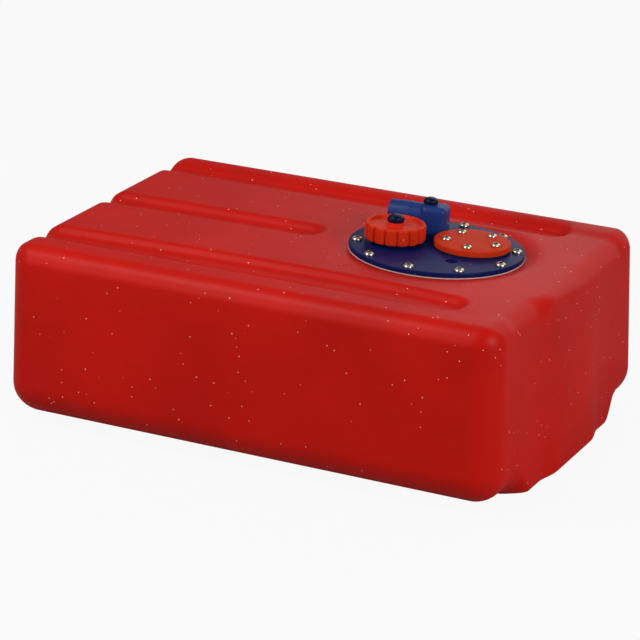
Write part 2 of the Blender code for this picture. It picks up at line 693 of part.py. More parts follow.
def make_gauge_cover(frame):
    place = (COVER_X, COVER_Y)
    top_edge = arc(COVER_RADIUS - COVER_EDGE, COVER_TOP - COVER_EDGE, COVER_EDGE, 90, 0, 2)
    spigot = GAUGE_PORT_RADIUS - 2 * GAP
    profile = [(0, COVER_TOP)] + top_edge + [(COVER_RADIUS, COVER_LOW), (spigot, COVER_LOW),
                                             (spigot, PLATE_LOW), (0, PLATE_LOW)]
    cover = turned("gauge_cover", profile, frame, new_material("cover_orange", ORANGE, 0.4), steps=60, place=place)
    combine(cover, screw_hole_cuts("cover_hole_cuts", COVER_SCREW_COUNT, COVER_SCREW_CIRCLE, COVER_SCREW_START,
                                   M5_HOLE, PLATE_LOW, COVER_TOP + OVERRUN, frame, place))
    gasket = ring("gauge_gasket", COVER_RADIUS - GAP, GAUGE_PORT_RADIUS, PLATE_TOP + GAP,
                  PLATE_TOP + GAP + COVER_GASKET, frame, new_material("gauge_gasket_black", BLACK, 0.7),
                  steps=48, place=place)
    combine(gasket, screw_hole_cuts("gauge_gasket_hole_cuts", COVER_SCREW_COUNT, COVER_SCREW_CIRCLE,
                                    COVER_SCREW_START, M5_HOLE, PLATE_TOP - OVERRUN, COVER_LOW + OVERRUN, frame,
                                    place))
    places = circle_places(COVER_SCREW_COUNT, COVER_SCREW_CIRCLE, COVER_SCREW_START, place)
    screw = button_screw(M5_SHANK, M5_HEAD_RADIUS, M5_HEAD_HEIGHT, M5_LENGTH, COVER_TOP)
    repeated_parts("gauge_screw", screw, places, frame, new_material("gauge_screw_steel", STEEL, 0.25, 1.0))
    bush = lathe_bmesh([(M5_INSERT_RADIUS, PLATE_TOP - GAP), (M5_INSERT_RADIUS, PLATE_TOP - M5_INSERT_LENGTH),
                        (M5_HOLE, PLATE_TOP - M5_INSERT_LENGTH), (M5_HOLE, PLATE_TOP - GAP)], 10, closed=True)
    repeated_parts("gauge_insert", bush, places, frame, new_material("gauge_insert_brass", BRASS, 0.35, 1.0))


def make_outlet_elbow(frame):
    place = (ELBOW_X, ELBOW_Y)
    base = PLATE_TOP + GAP
    bm = bmesh.new()
    size = Matrix.Diagonal((BLOCK_LENGTH, BLOCK_WIDTH, BLOCK_HEIGHT, 1))
    bmesh.ops.create_cube(bm, size=1.0, matrix=Matrix.Translation((0, 0, (base + BLOCK_TOP) / 2)) @ size)
    upright = [edge for edge in bm.edges if abs(edge.verts[0].co.z - edge.verts[1].co.z) > MERGE]
    bmesh.ops.bevel(bm, geom=upright, offset=BLOCK_CORNER, segments=5, profile=0.5, affect="EDGES")
    top = [edge for edge in bm.edges if all(vert.co.z > BLOCK_TOP - MERGE for vert in edge.verts)]
    bmesh.ops.bevel(bm, geom=top, offset=BLOCK_FILLET, segments=4, profile=0.5, affect="EDGES")
    elbow = add_object("outlet_elbow", to_mesh("outlet_elbow", bm, smooth=True), frame,
                       new_material("elbow_blue", BLUE, 0.38))
    elbow.location = (*place, 0)
    elbow.rotation_euler.z = ELBOW_HEADING
    combine(elbow, rod("spigot_join", SPIGOT_RADIUS, SPIGOT_LOW, base + OVERRUN, frame, steps=36, place=place),
            "UNION")

    across = Matrix.Rotation(ELBOW_HEADING, 4, "Z") @ Matrix.Rotation(math.radians(90), 4, "Y")
    seat = Matrix.Translation((ELBOW_X, ELBOW_Y, TAIL_AXIS)) @ across
    start = TAIL_LENGTH - BARB_LENGTH
    tail_profile = [(TAIL_TIP_RADIUS - TAIL_LIP, TAIL_LENGTH), (TAIL_TIP_RADIUS, TAIL_LENGTH - TAIL_LIP),
                    (BARB_RADIUS, start + TAIL_LIP), (TAIL_NECK_RADIUS, start), (TAIL_NECK_RADIUS, 0)]
    tail = add_object("tail_join", to_mesh("tail_join", lathe_bmesh(tail_profile, 32), smooth=True), frame)
    tail.matrix_local = seat
    combine(elbow, tail, "UNION")
    bleed_place = (ELBOW_X + BLEED_OFFSET * math.cos(ELBOW_HEADING),
                   ELBOW_Y + BLEED_OFFSET * math.sin(ELBOW_HEADING))
    boss = rod("bleed_boss_join", BLEED_BOSS_RADIUS, BLOCK_TOP - BLOCK_FILLET, BLEED_BOSS_TOP, frame,
               place=bleed_place)
    combine(elbow, boss, "UNION")

    bore_top = TAIL_AXIS + ELBOW_BORE - GAP
    riser = rod("riser_bore_cut", ELBOW_BORE, SPIGOT_LOW + SPIGOT_SOCKET, bore_top, frame, place=place)
    socket = rod("socket_cut", TUBE_RADIUS + GAP, SPIGOT_LOW - OVERRUN, SPIGOT_LOW + SPIGOT_SOCKET + OVERRUN,
                 frame, steps=20, place=place)
    bore = rod("tail_bore_cut", ELBOW_BORE, 0, TAIL_LENGTH + OVERRUN, frame, steps=24)
    bore.matrix_local = seat
    bleed = rod("bleed_hole_cut", KNOB_HOLE, TAIL_AXIS, BLEED_BOSS_TOP + OVERRUN, frame, steps=16,
                place=bleed_place)
    pocket = rod("bleed_pocket_cut", KNOB_SEAL_OUTER + GAP, BLEED_BOSS_TOP - KNOB_SEAL_THICKNESS - GAP,
                 BLEED_BOSS_TOP + OVERRUN, frame, place=bleed_place)
    for cutter in (riser, socket, bore, bleed, pocket):
        combine(elbow, cutter)

    ring_radius = SPIGOT_RADIUS + GAP + O_RING_SECTION + GAP
    section = arc(ring_radius, PLATE_TOP - O_RING_SECTION, O_RING_SECTION, 90, -270, 6)[:-1]
    turned("elbow_o_ring", section, frame, new_material("o_ring_black", BLACK, 0.6), steps=28, place=place,
           closed=True)
    nut_high = PLATE_LOW - GAP
    nut = ring("elbow_locknut", NUT_RADIUS, SPIGOT_RADIUS + GAP, nut_high - NUT_THICKNESS, nut_high, frame,
               new_material("locknut_blue", BLUE, 0.45), steps=NUT_SIDES * 3, place=place)
    notch_radius = NUT_THICKNESS / 3
    notch = lathe_bmesh([(notch_radius, nut_high + OVERRUN),
                         (notch_radius, nut_high - NUT_THICKNESS - OVERRUN)], 8)
    notches = circle_places(NUT_SIDES, NUT_RADIUS, math.pi / NUT_SIDES, place)
    combine(nut, repeated_cuts("nut_notch_cuts", notch, notches, frame))
    return bleed_place


def make_pickup(frame):
    place = (ELBOW_X, ELBOW_Y)
    tube_high = SPIGOT_LOW + SPIGOT_SOCKET - GAP
    tube_low = STRAINER_LOW + STRAINER_LENGTH / 2
    ring("pickup_tube", TUBE_RADIUS, TUBE_BORE, tube_low, tube_high, frame,
         new_material("tube_black", BLACK, 0.5), steps=20, place=place)
    high = STRAINER_LOW + STRAINER_LENGTH
    grip = TUBE_RADIUS + GAP
    floor = STRAINER_LOW + STRAINER_RADIUS - STRAINER_BORE
    lid = high - STRAINER_LENGTH / 4
    profile = [(STRAINER_RADIUS, high), (STRAINER_RADIUS, STRAINER_LOW), (0, STRAINER_LOW), (0, floor),
               (STRAINER_BORE, floor), (STRAINER_BORE, lid), (grip, lid), (grip, high)]
    strainer = turned("pickup_strainer", profile, frame, new_material("strainer_blue", BLUE, 0.5), steps=24,
                      place=place, closed=True)
    bm = bmesh.new()
    for index in range(STRAINER_SLOTS // 2):
        turn = Matrix.Rotation(math.pi * index * 2 / STRAINER_SLOTS, 4, "Z")
        size = Matrix.Diagonal((3 * STRAINER_RADIUS, STRAINER_SLOT, (lid - floor) / 2, 1))
        height = Matrix.Translation((*place, (floor + lid) / 2))
        bmesh.ops.create_cube(bm, size=1.0, matrix=height @ turn @ size)
    combine(strainer, add_object("strainer_slot_cuts", to_mesh("strainer_slot_cuts", bm), frame))


def make_flange_frame():
    """The empty at the middle of the seat, tilted with it, that carries every fitting."""
    frame = bpy.data.objects.new("flange_frame", None)
    PARTS.objects.link(frame)
    hinge = Vector((-math.sin(SEAT_TILT_HEADING), math.cos(SEAT_TILT_HEADING), 0))
    frame.matrix_world = (Matrix.Translation((FLANGE_X, FLANGE_Y, SEAT_HEIGHT))
                          @ Matrix.Rotation(SEAT_TILT, 4, hinge))
    return frame


clear_scene()
PARTS = new_collection("fuel_tank")
CUTTERS = new_collection("cutters")
flange_frame = make_flange_frame()
make_tank_shell(flange_frame)
make_seat_inserts(flange_frame)
make_flange_gasket(flange_frame)
make_flange_plate(flange_frame)
make_flange_screws(flange_frame)
make_filler_cap(flange_frame)
make_knob("vent_knob", "vent_seal", VENT_KNOB_RADIUS, VENT_KNOB_HEIGHT, CAP_BOSS_TOP, (CAP_X, CAP_Y), flange_frame)
make_gauge_cover(flange_frame)
bleed_middle = make_outlet_elbow(flange_frame)
make_knob("bleed_knob", "bleed_seal", BLEED_KNOB_RADIUS, BLEED_KNOB_HEIGHT, BLEED_BOSS_TOP, bleed_middle,
          flange_frame)
make_pickup(flange_frame)
bpy.context.view_layer.update()
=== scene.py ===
"""Looks of the under-seat fuel tank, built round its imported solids.

Metres, +Z up; X runs along the tank, -Y is its front, and the floor is at zero.
"""
import json
import math

import bmesh
import bpy
import numpy as np
from mathutils import Matrix, Vector


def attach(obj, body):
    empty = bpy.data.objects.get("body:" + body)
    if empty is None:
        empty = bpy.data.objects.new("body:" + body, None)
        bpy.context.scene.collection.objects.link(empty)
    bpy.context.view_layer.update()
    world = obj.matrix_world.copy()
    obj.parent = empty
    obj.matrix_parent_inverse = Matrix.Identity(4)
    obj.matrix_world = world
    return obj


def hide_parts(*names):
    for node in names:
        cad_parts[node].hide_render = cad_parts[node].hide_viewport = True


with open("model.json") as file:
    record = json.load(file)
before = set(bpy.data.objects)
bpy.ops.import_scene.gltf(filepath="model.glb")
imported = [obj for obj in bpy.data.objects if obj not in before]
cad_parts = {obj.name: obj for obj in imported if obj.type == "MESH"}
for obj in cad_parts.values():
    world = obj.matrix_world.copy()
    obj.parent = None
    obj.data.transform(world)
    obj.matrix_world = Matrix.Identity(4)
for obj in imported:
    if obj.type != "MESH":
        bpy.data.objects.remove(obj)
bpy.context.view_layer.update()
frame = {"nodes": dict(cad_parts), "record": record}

# Tank skin: the solid shell's sizes, but for the pad's top edge, crisp in front and soft at the back
GAP = 0.0003
TANK_LENGTH = 0.550
TANK_WIDTH = 0.3766
RAIL_TOP = 0.1941
DRAFT_SHARE = 0.027
PLAN_RADIUS = 0.0285
TOP_RADIUS = 0.020
BOTTOM_RADIUS = 0.034
RAIL_LIFT = 0.0095
BELLY_MIDDLE = 0.004
BELLY_HALF = 0.116
BELLY_FADE = 0.028
BELLY_CORNER = 0.016
BELLY_CORNER_FADE = 0.026
BELLY_RADIUS = 0.006
LEFT_BELLY_RADIUS = 0.020
PAD_MIDDLE = 0.004
PAD_TOP_HALF = 0.072
PAD_TOP_PROUD = 0.0025
PAD_TOP_RADIUS = 0.008
PAD_CRISP_LEAD = 0.012
PAD_CRISP_RUN = 0.022
PAD_CRISP_FRONT = -0.050
PAD_CRISP_BACK = 0.050
PAD_BOTTOM_HALF = 0.061
PAD_BOTTOM_PROUD = 0.0070
PAD_CRISP_FADE = 0.014
PAD_SOFT_FADE = 0.090
GROOVE_PITCH = 0.131
GROOVE_MIDDLE = 0.005
GROOVE_HALF = 0.021
GROOVE_SHOULDER = 0.012
GROOVE_DEPTH = 0.008
SIDE_GROOVE_END = 0.216
MIDDLE_GROOVE_END = -0.005
CROWN_RISE = 0.0030
CROWN_X = 0.030
CROWN_Y = -0.060
CROWN_REACH = 0.310
CROWN_LEAN_SHARE = 0.022
END_FALL = 0.0031
END_FALL_START = 0.060
END_FALL_REACH = 0.195
FLANGE_X = 0.1193
FLANGE_Y = 0.0130
SEAT_HEIGHT = 0.19235
SEAT_TILT = math.radians(3.04)
SEAT_TILT_HEADING = math.radians(54.1)
SEAT_RADIUS = 0.092
DISH_RADIUS = 0.104
DISH_RISE = 0.0042
SEAT_BLEND = 0.0012
SKIN_SPACING = 0.003
SKIN_LEVELS = 14
SKIN_CORNER_STEPS = 8
TINY = 1e-9
WELD = 1e-6

# Fittings, in the flange's own frame: the solids' sizes, with rounder edges and narrow notches
PLATE_RADIUS = 0.090
PLATE_LOW = 0.0016
PLATE_TOP = 0.0062
PLATE_EDGE = 0.0012
PORT_MARK = (0.0332, -0.0376)
PORT_MARK_RADIUS = 0.0062
PORT_MARK_DEPTH = 0.0015
PORT_PILOT_RADIUS = 0.0030
PORT_PILOT_DEPTH = 0.0038
SCREW_CIRCLE = 0.0817
SCREW_COUNT = 10
SCREW_START = math.radians(-157.75)
M6_HEAD = (0.00525, 0.0031, 0.0030, 0.0160)  # radius, height, shank radius, shank length
M5_HEAD = (0.0047, 0.0028, 0.0025, 0.0160)
HEAD_FLAT_SHARE = 0.52
SOCKET_FLAT_SHARE = 0.43
SOCKET_DEPTH_SHARE = 0.70
SOCKET_TAPER_SHARE = 0.96
SOCKET_SINK = 0.00008
HEAD_DOME_POWER = 0.62
SCREW_TURN = 1.9
CAP = (-0.0421, -0.0124)
NECK_RADIUS = 0.0230
NECK_BORE = 0.0190
NECK_TOP = PLATE_TOP + 0.0140
NECK_DROP = 0.0180
NECK_LIP = 0.0006
CUT_OVERRUN = 0.010
BOSS_OVERLAP = 0.001
CAP_RADIUS = 0.0314
CAP_LOBES = 15
CAP_LOBE_START = math.radians(-61.2)
CAP_NOTCH = 0.0026
CAP_NOTCH_WIDTH = 0.0016
CAP_LOW = PLATE_TOP + 0.0040
CAP_TOP = CAP_LOW + 0.0164
CAP_FLOOR = CAP_TOP - 0.0030
CAP_BOSS_RADIUS = 0.0085
CAP_BOSS_TOP = CAP_FLOOR + 0.0038
CAP_UNDERSIDE = NECK_TOP + 2 * GAP + 0.0012
CAP_RIM = 0.0050
CAP_RIM_EDGE = 0.0018
CAP_STEP_EDGE = 0.0008
CAP_RIM_SLOPE = 0.0016
CAP_FLOOR_RINGS = (0.014, 0.018, 0.022)
LOBE_SHARE = 0.35
VENT_KNOB = (0.0088, 0.0077)  # radius, height
BLEED_KNOB = (0.0078, 0.0063)
KNOB_RIM_SHARE = 0.30
KNOB_FOOT_SHARE = 0.96
KNOB_DOME_POWER = 0.9
KNOB_NOTCHES = 8
KNOB_NOTCH = 0.0006
KNOB_NOTCH_WIDTH = 0.0007
KNOB_NOTCH_SHARE = 0.80
KNOB_STEM = 0.0028
KNOB_STEM_LENGTH = 0.0060
COVER = (0.0310, 0.0187)
COVER_RADIUS = 0.0396
COVER_LOW = PLATE_TOP + 2 * GAP + 0.0010
COVER_TOP = COVER_LOW + 0.0057
COVER_SPIGOT = 0.0209
COVER_EDGE = 0.0014
COVER_SCREW_CIRCLE = 0.0270
COVER_SCREW_COUNT = 5
COVER_SCREW_START = math.radians(-150.0)
GAUGE_PORT_RADIUS = 0.0215
GAUGE_BOSS_RADIUS = 0.0330
GAUGE_BOSS_DROP = 0.0070
ELBOW = (-0.02335, 0.0438)
ELBOW_HEADING = math.radians(189.4)
BLOCK_SIZE = (0.0276, 0.0270, 0.0288)
BLOCK_CORNER = 0.0060
BLOCK_FILLET = 0.0058
BLOCK_LOW = PLATE_TOP + GAP
BLOCK_TOP = BLOCK_LOW + BLOCK_SIZE[2]
ELBOW_BORE = 0.0080
TAIL_AXIS = PLATE_TOP + 0.0164
TAIL_LENGTH = 0.0482
TAIL_NECK_RADIUS = 0.0124
TAIL_TIP_RADIUS = 0.0120
TAIL_BORE_START = 0.0120
TAIL_LIP = 0.0010
BARB_RADIUS = 0.0129
BARB_LENGTH = 0.0239
BARB_TAPER = 0.0001
BLEED_OFFSET = 0.0055
BLEED_BOSS_RADIUS = 0.0072
BLEED_BOSS_TOP = BLOCK_TOP + 0.0007
BLEED_BOSS_EDGE = 0.0003
BLEED_BOSS_ROOT = 0.003
SPIGOT_RADIUS = 0.0110
SPIGOT_LOW = PLATE_TOP - 0.0240
TUBE_HOLE = 0.0063
TUBE_HOLE_DEPTH = 0.011
SHARP_ANGLE = math.radians(32)
CAP_SHARP_ANGLE = math.radians(40)
KNOB_SHARP_ANGLE = math.radians(38)
HEAD_SHARP_ANGLE = math.radians(45)
SOCKET_SHARP_ANGLE = math.radians(25)


def smooth_step(value, low, high):
    share = np.clip((value - low) / (high - low), 0.0, 1.0)
    return share * share * (3 - 2 * share)


def mix(first, second, share):
    return first + (second - first) * share


def groove_depth(x, y):
    depth = np.zeros_like(x)
    for index in (-1, 0, 1):
        middle = GROOVE_MIDDLE + GROOVE_PITCH * index
        end = MIDDLE_GROOVE_END if index == 0 else SIDE_GROOVE_END
        beyond = np.maximum(x - (end - GROOVE_HALF), 0.0)
        distance = np.hypot(beyond, y - middle)
        fall = 1 - smooth_step(distance, GROOVE_HALF - GROOVE_SHOULDER, GROOVE_HALF)
        depth = np.maximum(depth, GROOVE_DEPTH * fall)
    return depth


def land_crown(x, y):
    low, high = GROOVE_MIDDLE - GROOVE_PITCH, GROOVE_MIDDLE + GROOVE_PITCH
    off_rail = smooth_step(y, low - GROOVE_HALF, low) * (1 - smooth_step(y, high, high + GROOVE_HALF))
    rise = CROWN_RISE - CROWN_LEAN_SHARE * (y - CROWN_Y)
    fall = END_FALL * (np.maximum(x - END_FALL_START, 0.0) / END_FALL_REACH) ** 2
    return (rise * (1 - ((x - CROWN_X) / CROWN_REACH) ** 2) - fall) * off_rail


def seat_level(x, y):
    along = (x - FLANGE_X) * math.cos(SEAT_TILT_HEADING) + (y - FLANGE_Y) * math.sin(SEAT_TILT_HEADING)
    return SEAT_HEIGHT - along * math.tan(SEAT_TILT)


def top_level(x, y):
    """The top's height: the lower of the land and the dish round the seat, blended where they meet."""
    level = RAIL_TOP + land_crown(x, y) - groove_depth(x, y)
    beyond = np.maximum(np.hypot(x - FLANGE_X, y - FLANGE_Y) - SEAT_RADIUS, 0.0)
    cone = seat_level(x, y) + beyond * DISH_RISE / (DISH_RADIUS - SEAT_RADIUS)
    return -np.logaddexp(-level / SEAT_BLEND, -cone / SEAT_BLEND) * SEAT_BLEND


def belly_share(y):
    return 1 - smooth_step(np.abs(y - BELLY_MIDDLE), BELLY_HALF, BELLY_HALF + BELLY_FADE)


def pad_share(y, height_share):
    """How far the end's pad stands out: crisp at top and floor, soft half way up and at the upper back."""
    half = mix(PAD_BOTTOM_HALF, PAD_TOP_HALF, height_share)
    softness = np.sqrt(np.maximum(4 * height_share * (1 - height_share), 0.0))
    softness = np.where((y > PAD_MIDDLE) & (height_share > 0.5), 1.0, softness)
    fade = mix(PAD_CRISP_FADE, PAD_SOFT_FADE, softness) / 2
    return 1 - smooth_step(np.abs(y - PAD_MIDDLE), half - fade, half + fade)


def bottom_end_radius(y, right):
    start = BELLY_HALF - BELLY_CORNER
    corner = smooth_step(np.abs(y - BELLY_MIDDLE), start, start + BELLY_CORNER_FADE)
    small = np.where(right, BELLY_RADIUS, LEFT_BELLY_RADIUS)
    return mix(small, BOTTOM_RADIUS, corner)


def top_end_radius(y, right):
    start = PAD_MIDDLE - PAD_TOP_HALF
    rising = smooth_step(y, start - PAD_CRISP_LEAD, start + PAD_CRISP_RUN)
    crisp = rising * (1 - smooth_step(y, PAD_CRISP_FRONT, PAD_CRISP_BACK))
    return np.where(right, mix(TOP_RADIUS, PAD_TOP_RADIUS, crisp), TOP_RADIUS)


def axis_stations(marks):
    """Rows of one axis: the share of a corner's turn, the side, and the place of a row on the flat."""
    turns = [math.radians(45) * step / SKIN_CORNER_STEPS for step in range(1, SKIN_CORNER_STEPS + 1)]
    corner = [math.tan(angle) for angle in turns]
    low = [(share, -1, 0.0) for share in reversed(corner)] + [(0.0, -1, 0.0)]
    high = [(0.0, 1, 0.0)] + [(share, 1, 0.0) for share in corner]
    return np.array(low + [(0.0, 0, mark) for mark in marks] + high)


def cube_surface(counts):
    """Grid points and quads on the six faces of a box cut into whole cells."""
    points, faces, index = [], [], {}

    def point(cell):
        if cell not in index:
            index[cell] = len(points)
            points.append(cell)
        return index[cell]

    for axis in range(3):
        first, second = (axis + 1) % 3, (axis + 2) % 3
        for end in (0, counts[axis]):
            for a in range(counts[first]):
                for b in range(counts[second]):
                    ring = []
                    for da, db in ((0, 0), (1, 0), (1, 1), (0, 1)):
                        cell = [0, 0, 0]
                        cell[axis], cell[first], cell[second] = end, a + da, b + db
                        ring.append(point(tuple(cell)))
                    faces.append(ring if end else ring[::-1])
    return np.array(points), faces


def shell_points(stations, cells):
    share_x, side_x, mark_x = stations[0][cells[:, 0]].T
    share_y, side_y, mark_y = stations[1][cells[:, 1]].T
    share_z, side_z, mark_z = stations[2][cells[:, 2]].T
    length = np.maximum(np.sqrt(share_x ** 2 + share_y ** 2 + share_z ** 2), TINY)
    round_x, round_y, round_z = share_x / length, share_y / length, share_z / length
    right = side_x > 0
    rim = np.where(side_z > 0, TOP_RADIUS, BOTTOM_RADIUS)
    y_radius = mix(PLAN_RADIUS, rim, share_z ** 2 / np.maximum(share_x ** 2 + share_z ** 2, TINY))
    y = np.where(side_y == 0, mark_y, side_y * (TANK_WIDTH / 2 - y_radius + y_radius * round_y))
    edge = np.where(side_z > 0, top_end_radius(y, right), bottom_end_radius(y, right))
    x_radius = mix(PLAN_RADIUS, edge, share_z ** 2 / np.maximum(share_y ** 2 + share_z ** 2, TINY))
    x = np.where(side_x == 0, mark_x, side_x * (TANK_LENGTH / 2 - x_radius + x_radius * round_x))
    z_radius = mix(rim, edge, share_x ** 2 / np.maximum(share_x ** 2 + share_y ** 2, TINY))
    top = top_level(x, y)
    bottom = RAIL_LIFT * (1 - belly_share(y))
    z = np.where(side_z == 0, mark_z, np.where(side_z > 0, top - z_radius + z_radius * round_z,
                                               bottom + z_radius - z_radius * round_z))
    height_share = np.clip(z / RAIL_TOP, 0.0, 1.0)
    proud = mix(PAD_BOTTOM_PROUD, PAD_TOP_PROUD, height_share)
    x = x + np.where(right, proud * pad_share(y, height_share) * np.maximum(round_x, 0.0), 0.0)
    lean = DRAFT_SHARE * (z - RAIL_TOP / 2)
    x = x - np.where(side_x != 0, side_x * lean, 0.0)
    y = y - np.where(side_y != 0, side_y * lean, 0.0)
    return np.stack([x, y, z], 1)


def shell_mesh():
    def marks(size):
        inner = size / 2 - BOTTOM_RADIUS
        count = round(2 * inner / SKIN_SPACING)
        return [-inner + 2 * inner * step / count for step in range(1, count)]

    low, high = RAIL_LIFT + BOTTOM_RADIUS, RAIL_TOP - TOP_RADIUS - GROOVE_DEPTH
    stations = [axis_stations(marks(TANK_LENGTH)), axis_stations(marks(TANK_WIDTH)),
                axis_stations(np.linspace(low, high, SKIN_LEVELS)[1:-1])]
    cells, faces = cube_surface([len(places) - 1 for places in stations])
    points = shell_points(stations, cells)
    mesh = bpy.data.meshes.new("tank_skin")
    mesh.from_pydata(points.tolist(), [], faces)
    bm = bmesh.new()
    bm.from_mesh(mesh)
    bmesh.ops.remove_doubles(bm, verts=bm.verts, dist=WELD)
    bmesh.ops.recalc_face_normals(bm, faces=bm.faces)
    bm.to_mesh(mesh)
    bm.free()
    mesh.shade_smooth()
    return mesh


def add_piece(name, mesh, body, material, replaces=()):
    obj = bpy.data.objects.new(name, mesh)
    bpy.context.scene.collection.objects.link(obj)
    mesh.materials.append(material)
    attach(obj, body)
    if replaces:
        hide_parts(*replaces)


# Fittings
tilt_axis = Vector((-math.sin(SEAT_TILT_HEADING), math.cos(SEAT_TILT_HEADING), 0))
flange = Matrix.Translation((FLANGE_X, FLANGE_Y, SEAT_HEIGHT)) @ Matrix.Rotation(SEAT_TILT, 4, tilt_axis)


def circle_places(count, radius, start, middle=(0, 0)):
    return [(middle[0] + radius * math.cos(start + 2 * math.pi * step / count),
             middle[1] + radius * math.sin(start + 2 * math.pi * step / count)) for step in range(count)]


def corner_arc(radius, height, size, start, end, steps):
    """Points of a round corner of a profile, from one angle to another, in degrees."""
    angles = [math.radians(start + (end - start) * step / steps) for step in range(steps + 1)]
    return [(radius + size * math.cos(angle), height + size * math.sin(angle)) for angle in angles]


def notch_shape(angle, count, start, radius, depth, width):
    """How far a narrow notch, one of several round a rim, cuts in at an angle."""
    pitch = 2 * math.pi / count
    off = abs((angle - start + pitch / 2) % pitch - pitch / 2) * radius
    lobe = LOBE_SHARE * depth * (off * 2 / (pitch * radius) - 1) ** 2
    return max(depth * math.exp(-(off / width) ** 2), lobe)


def turned(bm, profile, steps, place, cut=None, cut_low=0.0, cut_high=1.0):
    """Adds a closed body of revolution; the profile runs down its outside from the middle.

    A cut narrows it by an angle's own depth, fully from the high radius out and not under the low one.
    """
    rings = []
    for radius, height in profile:
        if radius < TINY:
            rings.append([bm.verts.new(place @ Vector((0, 0, height)))])
            continue
        ring = []
        for step in range(steps):
            angle = 2 * math.pi * step / steps
            reach = radius
            if cut is not None:
                reach -= cut(angle) * float(smooth_step(radius, cut_low, cut_high))
            point = Vector((reach * math.cos(angle), reach * math.sin(angle), height))
            ring.append(bm.verts.new(place @ point))
        rings.append(ring)
    for upper, lower in zip(rings, rings[1:]):
        for step in range(steps):
            after = (step + 1) % steps
            if len(upper) == 1:
                bm.faces.new((upper[0], lower[step], lower[after]))
            elif len(lower) == 1:
                bm.faces.new((upper[step], lower[0], upper[after]))
            else:
                bm.faces.new((upper[step], lower[step], lower[after], upper[after]))


def finished(name, bm, angle=SHARP_ANGLE):
    """The mesh of what was drawn, smooth but for edges that turn by more than the angle."""
    mesh = bpy.data.meshes.new(name)
    bmesh.ops.recalc_face_normals(bm, faces=bm.faces)
    bm.to_mesh(mesh)
    bm.free()
    mesh.shade_smooth()
    mesh.set_sharp_from_angle(angle=angle)
    return mesh


def at(place, height=0.0):
    return flange @ Matrix.Translation((place[0], place[1], height))


def cut_out(mesh, cutters):
    """The mesh less each of the cutter meshes."""
    body = bpy.data.objects.new("uncut", mesh)
    bpy.context.scene.collection.objects.link(body)
    tools = []
    for cutter in cutters:
        tool = bpy.data.objects.new("cutter", cutter)
        bpy.context.scene.collection.objects.link(tool)
        boolean = body.modifiers.new("cut", "BOOLEAN")
        boolean.operation = "DIFFERENCE"
        boolean.solver = "EXACT"
        boolean.object = tool
        tools.append(tool)
    depsgraph = bpy.context.evaluated_depsgraph_get()
    result = bpy.data.meshes.new_from_object(body.evaluated_get(depsgraph))
    result.name = mesh.name
    for obj in [body] + tools:
        bpy.data.objects.remove(obj, do_unlink=True)
    result.shade_smooth()
    result.set_sharp_from_angle(angle=SHARP_ANGLE)
    return result


def rod_mesh(radius, low, high, place, steps=48):
    bm = bmesh.new()
    turned(bm, [(0, high), (radius, high), (radius, low), (0, low)], steps, at(place))
    return finished("rod", bm)


def plate_mesh():
    bm = bmesh.new()
    edge = corner_arc(PLATE_RADIUS - PLATE_EDGE, PLATE_TOP - PLATE_EDGE, PLATE_EDGE, 90, 0, 6)
    turned(bm, [(0, PLATE_TOP)] + edge + [(PLATE_RADIUS, PLATE_LOW), (0, PLATE_LOW)], 160, at((0, 0)))
    plate = finished("flange_plate_skin", bm)
    low, high = PLATE_LOW - CUT_OVERRUN, PLATE_TOP + CUT_OVERRUN
    cuts = [rod_mesh(PORT_MARK_RADIUS, PLATE_TOP - PORT_MARK_DEPTH, high, PORT_MARK),
            rod_mesh(PORT_PILOT_RADIUS, PLATE_TOP - PORT_PILOT_DEPTH, high, PORT_MARK, 32),
            rod_mesh(NECK_BORE, low, high, CAP, 64),
            rod_mesh(GAUGE_PORT_RADIUS, low, high, COVER, 64),
            rod_mesh(SPIGOT_RADIUS + GAP, low, high, ELBOW)]
    plate = cut_out(plate, cuts)
    bm = bmesh.new()
    bm.from_mesh(plate)
    neck_low, neck_high = PLATE_LOW - NECK_DROP, NECK_TOP - NECK_LIP
    neck = [(NECK_BORE, neck_low), (NECK_BORE, neck_high)]
    neck += corner_arc(NECK_BORE + NECK_LIP, neck_high, NECK_LIP, 180, 90, 3)
    neck += corner_arc(NECK_RADIUS - NECK_LIP, neck_high, NECK_LIP, 90, 0, 3)
    neck += [(NECK_RADIUS, neck_low), (NECK_BORE, neck_low)]
    turned(bm, neck, 72, at(CAP))
    boss_low, boss_high = PLATE_LOW - GAUGE_BOSS_DROP, PLATE_LOW + BOSS_OVERLAP
    turned(bm, [(GAUGE_PORT_RADIUS, boss_high), (GAUGE_BOSS_RADIUS, boss_high), (GAUGE_BOSS_RADIUS, boss_low),
                (GAUGE_PORT_RADIUS, boss_low), (GAUGE_PORT_RADIUS, boss_high)], 64, at(COVER))
    return finished("flange_plate_skin", bm)


